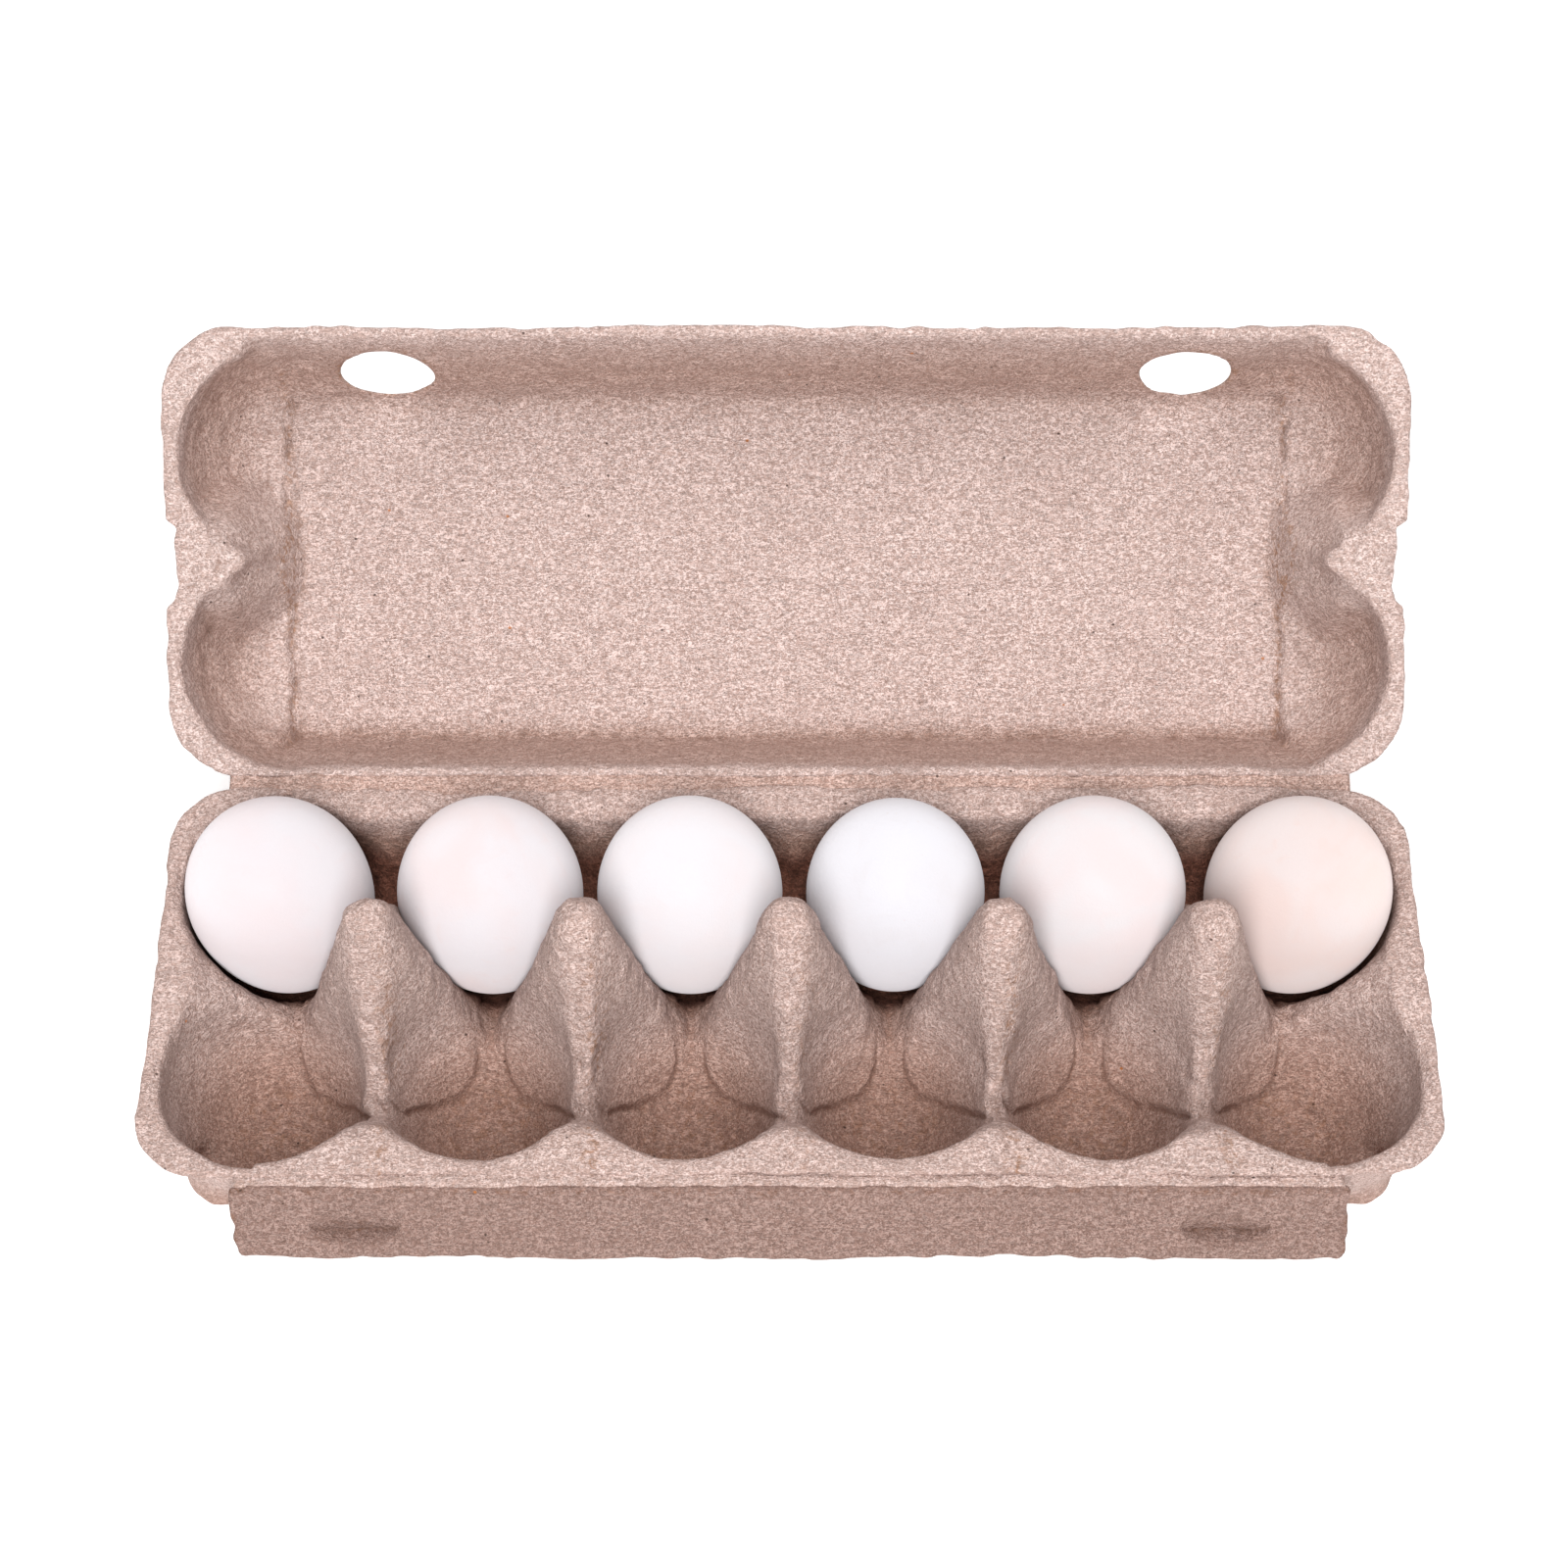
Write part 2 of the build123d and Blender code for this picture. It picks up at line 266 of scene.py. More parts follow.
def set_attribute(obj, name, values):
    kind = "FLOAT" if values.ndim == 1 else "FLOAT_VECTOR"
    attribute = obj.data.attributes.new(name, kind, "POINT")
    key = "value" if values.ndim == 1 else "vector"
    attribute.data.foreach_set(key, values.astype(np.float32).ravel())


def cavity_of(obj, rounds):
    """Millimetres that each vertex lies below its surroundings: grooves above 0, ridges below."""
    mesh = obj.data
    edges = np.zeros(len(mesh.edges) * 2, np.int32)
    mesh.edges.foreach_get("vertices", edges)
    edges = edges.reshape(-1, 2)
    places = vertex_positions(obj).astype(np.float64)
    normals = np.zeros(len(places) * 3, np.float32)
    mesh.vertices.foreach_get("normal", normals)
    count = np.bincount(edges.ravel(), minlength=len(places))[:, None] + 1
    smooth = places.copy()
    for _ in range(rounds):
        total = smooth.copy()
        for axis in range(3):
            for a, b in ((0, 1), (1, 0)):
                total[:, axis] += np.bincount(edges[:, a], smooth[edges[:, b], axis], len(places))
        smooth = total / count
    return np.einsum("ij,ij->i", smooth - places, normals.reshape(-1, 3)) / MM


def finish_pulp(obj, material, painted_shade, stain_and_shade):
    """Gives a pulp piece its rest places, hollows, painted shade by depth, stains with some painted
    shade, and material.
    """
    set_attribute(obj, "place", vertex_positions(obj) / MM)
    set_attribute(obj, "cavity", cavity_of(obj, 10))
    set_attribute(obj, "painted_shade", painted_shade)
    set_attribute(obj, "stain_and_shade", stain_and_shade)
    obj.data.materials.append(material)


# ---------------------------------------------------------------- tray
def open_axes(axes):
    return axes[0][:, None, None], axes[1][None, :, None], axes[2][None, None, :]


def tray_ridges(axes, outline, rim_z):
    """What stands up in the tray before its cups are sunk: the rim, the posts, webs and saddles."""
    x, y, z = open_axes(axes)

    def cone(cx, cy, radius_at, top, softness):
        radius, cosine = radius_at
        around = (np.sqrt((x - cx) ** 2 + (y - cy) ** 2) - radius) * cosine
        return smax(around, top, softness)

    rim_top = rim_z - RIM
    ridge = smin(z - SADDLE_HEIGHT, smax(rim_top, -outline - RIM_BAND, 2.5), 2.0)
    post = profile(POST_BENDS, 4.0)(z)
    front_post = profile(FRONT_POST_BENDS, 2.0)(z)
    back_post = profile(BACK_POST_BENDS, 2.0)(z)
    end_post = profile(END_POST_BENDS, 2.0)(z)
    slope = math.hypot(WEB_REACH, WEB_HIGH - WEB_LOW) / WEB_REACH
    web_height = np.interp(np.abs(axes[1]), [WEB_START, WEB_REACH], [WEB_HIGH, WEB_LOW])
    web_top = (z - web_height.astype(np.float32)[None, :, None]) / slope
    for number, px in enumerate(POST_XS):
        lean = 0.6 * math.sin(2.1 * number + 0.4)
        height = POST_HEIGHT - 0.5 * (1 + math.sin(1.7 * number))
        leaning = px + lean * step_up(z, 45, POST_HEIGHT)
        ridge = smin(ridge, cone(leaning, -0.5, post, z - height, 3.5), 2.5)
        ridge = smin(ridge, cone(px, -HALF_WIDTH, front_post, rim_top, 2.0), 2.5)
        ridge = smin(ridge, cone(px, HALF_WIDTH, back_post, rim_top, 2.0), 2.5)
        half_web = WEB_HALF_THICKNESS + WEB_DRAFT * (POST_HEIGHT - z)
        ridge = smin(ridge, smax(np.abs(x - px) - half_web, web_top, 3.0), 4.0)
    for px in (-HALF_LENGTH, HALF_LENGTH):
        ridge = smin(ridge, cone(px, 0, end_post, rim_top, 2.5), 3.0)
    return ridge


def cup_relief(cx, dx, dy, z):
    """How far the post pads and the mould lines stand in from the wall of the cup at cx."""
    aside = np.abs(np.arctan2(dy, dx) - math.pi / 2) * DEGREES
    foot = np.interp(aside, PAD_ANGLES, PAD_FEET).astype(np.float32)
    relief = 0.0
    for post in (1, -1):
        if abs(cx + post * HALF_PITCH) > OUTERMOST_POST:
            continue
        beside = (aside - 8.5) * 0.36
        near = dx * post > 0
        inside = smin(beside, (z - foot) * 0.8, 4.0) * np.where(near, 1, 0) - np.where(near, 0, 9)
        relief = relief + PAD_THICK * step_up(inside, -0.5, 1.1) - 0.55 * bump(inside, -1.3, 1.0)
    lines = np.interp(z, LINE_HEIGHTS, LINE_ANGLES).astype(np.float32)
    above_floor, below_pads = step_up(z, 3, 5), step_up(-z, -19, -14)
    return relief + 0.40 * bump((aside - lines) * 0.30, 0, 0.55) * above_floor * below_pads


def sink_cups(mass, axes):
    """Cuts the twelve cups into mass, each with its pads and the rings round its floor."""
    x, y, z = open_axes(axes)
    radius, cosine = profile(CUP_BENDS, 4.0)(z)
    for cx in CUP_XS:
        extra = END_EXTRA * step_up(z, 4, 12) if abs(cx) > 100 else 0.0
        for side in (-1, 1):
            cols = np.abs(axes[0] - cx) < CUP_WINDOW[0]
            rows = np.abs(axes[1] - side * CUP_Y) < CUP_WINDOW[1]
            window = np.ix_(cols, rows)
            dx, dy = x[cols] - cx, (y[:, rows] - side * CUP_Y) * -side
            around = np.sqrt(dx**2 + dy**2)
            relief = cup_relief(cx, dx, dy, z)
            wall = (around - (radius + extra - relief)) * cosine
            ring = 0.75 * bump(around, 10.0, 0.8) + 0.35 * bump(around, 2.6, 0.8)
            ring = ring - 0.2 * bump(around, 0, 1.2)
            cup = smax(wall, FLOOR + ring - z, 2.2)
            mass[window] = smax(mass[window], -cup, 2.8)
    return mass


def roughen_tray(mass, axes):
    """Torn, lumpy pulp along the webs and over the saddles, and soft lumps everywhere."""
    x, y, z = open_axes(axes)
    crest = sum(bump(x, px, 3.2) for px in POST_XS) * step_up(z, 14, 24)
    tips = step_up(z, 56, 64)
    saddle = bump(y, 0, 6.0) * step_up(z, 12, 16) * step_up(-z, -60, -48)
    torn = np.clip(crest + saddle + tips, 0, 1)
    folds = noise(axes, (1.5, 1.8, 6.0), 11)
    mass = mass + (0.05 + 0.17 * crest * (1 - 0.5 * tips)) * folds
    mass = mass + (0.04 + 0.15 * torn) * noise(axes, (1.9, 1.9, 1.9), 12)
    mass = mass + 0.11 * noise(axes, (7, 7, 7), 13) + 0.045 * noise(axes, (1.25, 1.25, 1.25), 14)
    cracks = np.clip(1 - np.abs(noise(axes, (3.0, 3.6, 8.0), 15)) / 0.10, 0, 1)
    return mass + 0.60 * np.clip(crest + 0.8 * saddle, 0, 1) * cracks


def tray_field(axes):
    """The tray's skin. Its upper face is where mass is 0, and it is TRAY_SHEET thick below that."""
    x, y, z = open_axes(axes)
    outline = rounded_rectangle(x, y, HALF_LENGTH, HALF_WIDTH, CORNER)
    rim_z = z + 0.35 * noise((axes[0], axes[1]), (38, 30), 3)[:, :, None]
    mass = sink_cups(tray_ridges(axes, outline, rim_z), axes)
    mass = roughen_tray(mass, axes)

    # lines pressed along the end flanges
    for inset, depth in ((3.4, 0.35), (6.0, 0.30)):
        line = bump(-outline, inset, 0.55) * step_up(np.abs(x), 141, 144)
        mass = mass + depth * line * step_up(z, 34, 38)

    sheet = smax(mass, -TRAY_SHEET - mass, 0.5)
    ragged = 0.16 * noise((axes[0], axes[1]), (2.4, 2.4), 16)
    ragged = ragged + 0.22 * noise((axes[0], axes[1]), (11, 11), 17)
    return smax(sheet, outline + 0.35 + np.clip(ragged, -0.35, 0.6)[:, :, None], 0.9)


def tray_shade(places):
    """How much painted shade a place gets, by how deep in the tray it is: 0 at the rim, 1 low in
    the cups, up to 2 in the back row.
    """
    _, y, z = places.T
    back = step_up(y, 1, 10)
    low = step_up(-z, -30, -3) * 0.9 + 0.9 * step_up(-z, -42, -20) * back
    return np.clip(low, 0, 1) + step_up(-z, -38, -22) * back


def tray_stain_and_shade(places):
    """Where the pulp has browner, rougher marks right of the web crests, and painted shade on the
    cup floors.
    """
    x, y, z = places.T
    stain_and_shade = np.zeros(len(places))
    for number, px in enumerate(POST_XS):
        strength = 0.5 + 0.5 * abs(math.sin(1.3 * number + 0.6))
        stain_and_shade += strength * bump(x, px + 3.2, 2.6) * step_up(-y, 2, 12) * step_up(z, 20, 32)
    # painted shade on the cup floors
    stain_and_shade += 0.5 * step_up(-z, -7, -3)
    return np.clip(stain_and_shade, 0, 1)


# ---------------------------------------------------------------- lid
def lid_hollow(axes, x, s, d):
    """The space inside the lid: a box with slanted walls, and two round lobes at each end."""
    share = d / LID_DEEP
    front = s - (107.0 - 14.2 * share)
    back = (3.0 + 4.5 * share) - s
    ends = np.abs(x) - (PANEL + PANEL_DRAFT * (1 - share))
    bulge = 0.7 * bump(x, 0, 90) * bump(s, 50, 34)
    box = smax(ends, smax(front * 0.91, back * 0.99, 3.0), 2.0)
    box = smax(box, d - LID_DEEP + bulge, 2.6)
    radius, cosine = profile(LOBE_BENDS, 5.0)(-d)
    lobes = None
    for cx in (-LOBE_X, LOBE_X):
        for cs in LOBE_S:
            around = np.sqrt((x - cx) ** 2 + (s - cs) ** 2)
            lobe = smax((around - radius) * cosine, d - LOBE_DEEP, 3.0)
            lobes = lobe if lobes is None else np.minimum(lobes, lobe)
    hollow = smin(box, lobes, 2.0)

    # crack-like creases where the panel meets the ends, with torn, uneven edges
    jitter = 0.7 * noise((axes[1],), (7,), 24)[None, :, None]
    jitter = jitter + 0.3 * noise((axes[1],), (2.2,), 25)[None, :, None]
    crease = bump(np.abs(x), PANEL + 0.4 + jitter, 0.65)
    crease = crease * (1 + 0.35 * noise((axes[1],), (3.0,), 26)[None, :, None])
    clear_of_back, clear_of_front = step_up(s, 10, 18), step_up(-s, -94, -86)
    return hollow - 0.8 * crease * step_up(d, 14, 24) * clear_of_back * clear_of_front


def add_end_pads(mass, axes, x, s, d):
    """The pad between two lobes lies just under the rim, then slopes down to the panel."""
    top = np.interp(np.abs(axes[0]), END_PAD_XS, END_PAD_DEPTHS).astype(np.float32)
    beside = np.maximum(np.abs(s - END_PAD_S) - 6.5, 0)
    pad = (top[:, None, None] + 1.10 * beside + 0.06 * beside**2 - d) * 0.68
    mass = smin(mass, pad, 3.0)
    crescent = np.sqrt((np.abs(x) - 144.0) ** 2 + ((s - 54) * 0.75) ** 2)
    crack = 0.55 * bump(crescent, 7.0, 0.6) * step_up(-np.abs(x), -141, -138)
    return mass + crack * step_up(-np.abs(s - 54), -9, -6)


def roughen_lid(mass, axes, x, s, d):
    """Lumps everywhere, more at the ends and along the fold, and wrinkles down the walls."""
    rough = step_up(np.abs(x), 121, 126) + 0.9 * bump(s, 4, 5) + 0.5 * bump(s, 100, 9)
    mass = mass + (0.04 + 0.10 * np.clip(rough, 0, 1)) * noise(axes, (2.2, 2.2, 2.2), 27)
    mass = mass + 0.10 * noise(axes, (9, 9, 9), 28) + 0.045 * noise(axes, (1.25, 1.25, 1.25), 29)
    wrinkle = noise((axes[0], axes[1]), (12, 2.0), 30)[:, :, None]
    mass = mass + 0.20 * wrinkle * (bump(s, 90, 4) + bump(s, 9, 3)) * step_up(d, 20, 28)
    wall_folds = noise(axes, (5.0, 2.4, 14.0), 31)
    return mass + 0.14 * wall_folds * np.clip(bump(s, 100, 6) + step_up(np.abs(x), 124, 127), 0, 1)


def lid_edge_field(axes, x, s):
    """The lid's cut outline, ragged, and pinched in between the two lobes of each end."""
    middle = (LID_START + LID_REACH) / 2
    outline = rounded_rectangle(x, s - middle, LID_LENGTH, middle - LID_START, LID_CORNER)
    pinch = (2.9 + 0.5 * noise((axes[1],), (2.6,), 32)[None, :, None]) * (
        step_up(s, 42.0, 44.5) * step_up(-s, -63.5, -61.0)
    )
    outline = np.maximum(outline, np.abs(x) - (LID_LENGTH - pinch))
    ragged = 0.16 * noise((axes[0], axes[1]), (2.2, 2.2), 33)
    ragged = ragged + 0.25 * noise((axes[0], axes[1]), (12, 12), 34)
    edge = outline + 0.35 + np.clip(ragged, -0.35, 0.8)[:, :, None]
    return np.where(s < 3, np.maximum(outline, edge - 0.3), edge)


def lock_hole_distance(x, s, cx):
    """1 on the edge of the oval lock hole at cx, and less inside it."""
    return np.sqrt(((x - cx) / LOCK_HALF[0]) ** 2 + ((s - LOCK_S) / LOCK_HALF[1]) ** 2)


def lid_field(axes):
    """The lid's skin in its own frame. The third axis is -d, so it is upwards as in the CAD."""
    x, s, up = open_axes(axes)
    warp = 0.5 * noise((axes[0], axes[1]), (45, 34), 23)[:, :, None] * step_up(s, 4, 20)
    d = -up + warp * 0.7
    mass = smax(-d, -lid_hollow(axes, x, s, d), 1.6)
    mass = add_end_pads(mass, axes, x, s, d)
    mass = roughen_lid(mass, axes, x, s, d)
    sheet = smax(mass, -LID_SHEET - mass, 0.5)
    sheet = smax(sheet, lid_edge_field(axes, x, s), 0.9)
    hole_wobble = 0.14 * noise((axes[0], axes[1]), (3, 3), 35)[:, :, None]
    for cx in (-LOCK_X, LOCK_X):
        hole = (lock_hole_distance(x, s, cx) - 1) * 5.6 + hole_wobble
        sheet = smax(sheet, -np.where(d > 2.0, hole, 9.0), 0.7)
    return sheet


def lid_wall_shade(points):
    """Painted shade that makes the lid's walls browner than its panel."""
    x, s, up = points.T
    walls = bump(s, 98.5, 6.5) + 1.1 * bump(s, 6.5, 4.0)
    walls = walls + 0.75 * step_up(np.abs(x), 126, 142) * step_up(-up, 4, 12)
    return np.clip(walls * step_up(-up, 1.0, 6.0), 0, 1) * 0.6


def lid_stain(points):
    """Brown lines along the creases at the panel's ends, at the pads' feet and round the holes."""
    x, s, up = points.T
    crease = bump(np.abs(x), PANEL + 0.4, 1.2) * step_up(-up, 16, 24)
    foot = bump(np.abs(x), PANEL, 2.6) * bump(s, END_PAD_S, 10)
    around = lock_hole_distance(np.abs(x), s, LOCK_X)
    return np.clip(0.8 * crease + foot + 0.9 * bump(around, 1.02, 0.12) * step_up(-up, 2, 4), 0, 1)


def lid_to_world(points):
    x, s, up = points.T
    deep = FACE_GAP - up
    sine, cosine = math.sin(LID_ANGLE), math.cos(LID_ANGLE)
    return np.stack(
        [
            x + LID_X,
            HINGE_Y + s * cosine + deep * sine,
            HINGE_Z + s * sine - deep * cosine,
        ],
        axis=1,
    )


# ---------------------------------------------------------------- flap
def flap_field(axes):
    """The lock flap's skin: a sheet about a middle surface that rises over each button."""
    x, down, out = open_axes(axes)
    middle = np.zeros((len(axes[0]), len(axes[1]), 1), np.float32)
    for cx in (-LOCK_X, LOCK_X):
        wide = np.sqrt(np.clip(1 - ((x - cx) / BUTTON_HALF) ** 2, 0, 1))
        start, deepest = BUTTON_DOWN - 6.0 * wide, BUTTON_DOWN + 2.9 * wide
        slope = np.clip((down - start) / (deepest - start + 0.01), 0, 1)
        wall_end = deepest + 0.3 + 1.3 * wide
        fall = step_up(down, deepest, wall_end + 0.3)
        middle = middle + BUTTON_RISE * wide * slope**1.8 * (1 - fall)
        lip = bump(down, wall_end + 0.9, 0.7) * bump(x, cx, 13)
        middle = middle - 0.40 * lip - 0.25 * bump(down, start - 0.8, 0.8) * (wide > 0)
    middle = middle - 0.30 * bump(down, 17.2, 1.3) + 0.22 * bump(down, 3.0, 1.0)
    middle = middle + 0.22 * noise((axes[0], axes[1]), (16, 9), 43)[:, :, None]
    middle = middle + 0.09 * noise((axes[0], axes[1]), (3, 3), 44)[:, :, None]
    tear = bump(x, LOCK_X - 1.0, 3.2) * bump(down, 9.5 + 0.3 * (x - LOCK_X), 0.9)
    middle = middle + 0.5 * tear
    thickness = FLAP_SHEET / 2 + 0.05 * noise(axes, (4, 4, 4), 45)
    sheet = np.abs(out - middle) * 0.93 - thickness + 0.05 * noise(axes, (1.5, 1.5, 1.5), 46)
    centre, half = (FLAP_START + FLAP_REACH) / 2, (FLAP_REACH - FLAP_START) / 2
    outline = rounded_rectangle(x, down - centre, FLAP_LENGTH, half, 2.6)
    ends = step_up(np.abs(x), 118, 124)
    ragged = (0.16 + 0.25 * ends) * noise((axes[0], axes[1]), (2.4, 2.0), 47)[:, :, None]
    ragged = ragged + 0.35 * noise((axes[0],), (22,), 48)[:, None, None] * step_up(down, 12, 18)
    edge = outline + 0.45 + np.clip(ragged, -0.4, 1.1)
    edge = np.where(down < 3, np.maximum(outline, edge - 0.4), edge)
    return smax(sheet, edge, 0.9)


def flap_shade_and_stain(points):
    """Painted shade in the buttons' dishes and along the fold, and brown on the torn ends."""
    x, down, _ = points.T
    # painted shade in the dishes and along the fold
    dish = bump(down, 12.6, 2.2) * bump(np.abs(x), LOCK_X, 7) + bump(down, 2.2, 0.9) * 0.7
    return np.clip(dish + 0.8 * bump(np.abs(x), FLAP_LENGTH - 0.5, 1.2), 0, 1)


def flap_to_world(points):
    x, down, out = points.T
    sine, cosine = math.sin(FLAP_ANGLE), math.cos(FLAP_ANGLE)
    y = -HINGE_Y - down * cosine + out * sine
    z = RIM - down * sine - out * cosine
    return np.stack([x, y, z], axis=1)


# ---------------------------------------------------------------- folds
STRIP_STEPS = 13
STRIP_THICK = 0.9


def fold_strip(name, half_length, path, thickness, seed):
    """A thin band of soft pulp along X, whose section follows path, a list of (y, z)."""
    path = np.array(path)
    along = np.linspace(0, 1, STRIP_STEPS)
    knots = np.linspace(0, 1, len(path))
    ys, zs = np.interp(along, knots, path[:, 0]), np.interp(along, knots, path[:, 1])
    tangent = np.stack([np.gradient(ys), np.gradient(zs)], 1)
    tangent /= np.linalg.norm(tangent, axis=1)[:, None]
    normal = np.stack([-tangent[:, 1], tangent[:, 0]], 1)
    xs = np.arange(-half_length, half_length + 0.1, 1.0)
    lumps = noise((xs.astype(np.float32), (along * 4).astype(np.float32)), (3.0, 1.2), seed)
    ring = np.concatenate([np.arange(STRIP_STEPS), np.arange(STRIP_STEPS)[::-1]])
    sides = np.concatenate([np.ones(STRIP_STEPS), -np.ones(STRIP_STEPS)])
    section = np.stack(
        [
            ys[ring] + normal[ring, 0] * sides * thickness / 2,
            zs[ring] + normal[ring, 1] * sides * thickness / 2,
        ],
        axis=1,
    )
    rows, corners = len(xs), len(ring)
    points = np.zeros((rows, corners, 3))
    points[:, :, 0] = xs[:, None]
    swell = 0.10 * lumps[:, ring] * sides[None, :]
    points[:, :, 1] = section[None, :, 0] + normal[ring, 0][None, :] * swell
    points[:, :, 2] = section[None, :, 1] + normal[ring, 1][None, :] * swell
    index = np.arange(rows * corners).reshape(rows, corners)
    nxt = np.roll(index, -1, axis=1)
    quads = np.stack([index[:-1], index[1:], nxt[1:], nxt[:-1]], -1).reshape(-1, 4)
    caps = []
    for row, flip in ((0, False), (rows - 1, True)):
        for k in range(STRIP_STEPS - 1):
            far = corners - 1 - k
            quad = [index[row, k], index[row, k + 1], index[row, far - 1], index[row, far]]
            caps.append(quad[::-1] if flip else quad)
    return add_mesh(name, points.reshape(-1, 3), np.concatenate([quads, np.array(caps)]))


# ---------------------------------------------------------------- eggs
EGG_X = (-122.5, -71.9, -24.0, 25.3, 72.6, 122.0)
EGG_LEAN = (-7.0, 0.0, 0.0, 0.0, 0.0, 4.0)
EGG_DIAMETER = (44.0, 44.4, 44.4, 42.8, 44.4, 44.2)
EGG_WIDEST = 35.0
EGG_BLUNT = 26.0
EGG_NARROW = 31.0
EGG_RINGS = 96
EGG_SIDES = 128


def egg_mesh(name, x, lean_degrees, diameter):
    """An eggshell standing narrow end down in a back cup, leaning along X."""
    latitude = np.linspace(-np.pi / 2, np.pi / 2, EGG_RINGS + 1)[1:-1]
    turn = np.linspace(0, 2 * np.pi, EGG_SIDES, endpoint=False)
    radius = diameter / 2 * np.cos(latitude)
    height = np.where(latitude > 0, EGG_BLUNT, EGG_NARROW) * np.sin(latitude)
    rings = np.stack(
        [
            radius[:, None] * np.cos(turn),
            radius[:, None] * np.sin(turn),
            np.repeat(height[:, None], EGG_SIDES, 1),
        ],
        axis=-1,
    ).reshape(-1, 3)
    points = np.concatenate([rings, [[0, 0, -EGG_NARROW], [0, 0, EGG_BLUNT]]])
    index = np.arange(len(rings)).reshape(-1, EGG_SIDES)
    nxt = np.roll(index, -1, axis=1)
    quads = np.stack([index[:-1], nxt[:-1], nxt[1:], index[1:]], -1).reshape(-1, 4)
    lower = np.stack([index[0], np.full(EGG_SIDES, len(rings)), nxt[0]], -1)
    upper = np.stack([index[-1], nxt[-1], np.full(EGG_SIDES, len(rings) + 1)], -1)
    triangles = np.concatenate([quads[:, [0, 1, 2]], quads[:, [0, 2, 3]], lower, upper])
    lean = math.radians(lean_degrees)
    tilted = points.copy()
    tilted[:, 0] = points[:, 0] * math.cos(lean) + points[:, 2] * math.sin(lean) + x
    tilted[:, 2] = points[:, 2] * math.cos(lean) - points[:, 0] * math.sin(lean) + EGG_WIDEST
    tilted[:, 1] += CUP_Y
    obj = add_mesh(name, tilted, triangles)
    set_attribute(obj, "place", tilted)
    return obj


# ---------------------------------------------------------------- materials
class Nodes:
    """A short way to write a material's node tree."""

    def __init__(self, name):
        self.material = bpy.data.materials.new(name)
        self.material.use_nodes = True
        self.tree = self.material.node_tree
        self.shader = self.tree.nodes["Principled BSDF"]

    def add(self, kind, inputs=(), output=0, **settings):
        node = self.tree.nodes.new(kind)
        for key, value in settings.items():
            setattr(node, key, value)
        for socket, value in dict(inputs).items():
            target = node.inputs[socket]
            if hasattr(value, "links"):
                self.tree.links.new(value, target)
            else:
                target.default_value = value
        return node.outputs[output]

    def place(self, stretch=(1, 1, 1), turn=(0, 0, 0)):
        source = self.add("ShaderNodeAttribute", output="Vector", attribute_name="place")
        return self.add("ShaderNodeMapping", {"Vector": source, "Scale": stretch, "Rotation": turn})

    def noise(self, vector, scale, detail=2.0, distortion=0.0):
        return self.add(
            "ShaderNodeTexNoise",
            {"Vector": vector, "Scale": scale, "Detail": detail, "Distortion": distortion},
        )

    def ramp(self, value, low, high, out_low=0.0, out_high=1.0):
        return self.add(
            "ShaderNodeMapRange",
            {
                "Value": value,
                "From Min": low,
                "From Max": high,
                "To Min": out_low,
                "To Max": out_high,
            },
            interpolation_type="SMOOTHSTEP",
        )

    def maths(self, operation, a, b=0.0):
        return self.add("ShaderNodeMath", {0: a, 1: b}, operation=operation)

    def mix(self, factor, a, b, blend="MIX"):
        return self.add(
            "ShaderNodeMix",
            {0: factor, 6: a, 7: b},
            output=2,
            data_type="RGBA",
            blend_type=blend,
        )

    def value_of(self, name):
        return self.add("ShaderNodeAttribute", output="Fac", attribute_name=name)


def fibre_streaks(n):
    """Thin dark fibres lying in four directions."""
    streaks = None
    for turn, stretch in (
        ((0.5, 0.2, 0.5), (0.55, 2.4, 2.4)),
        ((0.2, -0.5, 1.6), (0.60, 2.7, 2.7)),
        ((-0.4, 0.5, 2.6), (0.50, 2.2, 2.2)),
        ((0.9, 0.4, -0.4), (0.55, 2.5, 2.5)),
    ):
        fibre = n.noise(n.place(stretch, turn), 1.0, 0.0, 1.6)
        streak = n.ramp(fibre, 0.66, 0.76)
        streaks = streak if streaks is None else n.maths("MAXIMUM", streaks, streak)
    return streaks


def add_specks(n, colour):
    """Scattered specks of ink, orange card and dark fibre."""
    for scale, size, low, high, speck, strength in (
        (0.22, 0.10, 0.80, 0.84, (0.055, 0.030, 0.022, 1), 0.85),
        (0.10, 0.055, 0.86, 0.88, (0.50, 0.16, 0.03, 1), 0.80),
        (0.33, 0.13, 0.60, 0.66, (0.16, 0.095, 0.075, 1), 0.55),
    ):
        cells = n.tree.nodes.new("ShaderNodeTexVoronoi")
        n.tree.links.new(n.place((1, 1.25, 1)), cells.inputs["Vector"])
        cells.inputs["Scale"].default_value = scale
        chance = n.add("ShaderNodeSeparateColor", {"Color": cells.outputs["Color"]})
        spot = n.ramp(cells.outputs["Distance"], size, size * 0.6)
        dots = n.maths("MULTIPLY", spot, n.ramp(chance, low, high))
        colour = n.mix(n.maths("MULTIPLY", dots, strength), colour, speck)
    return colour


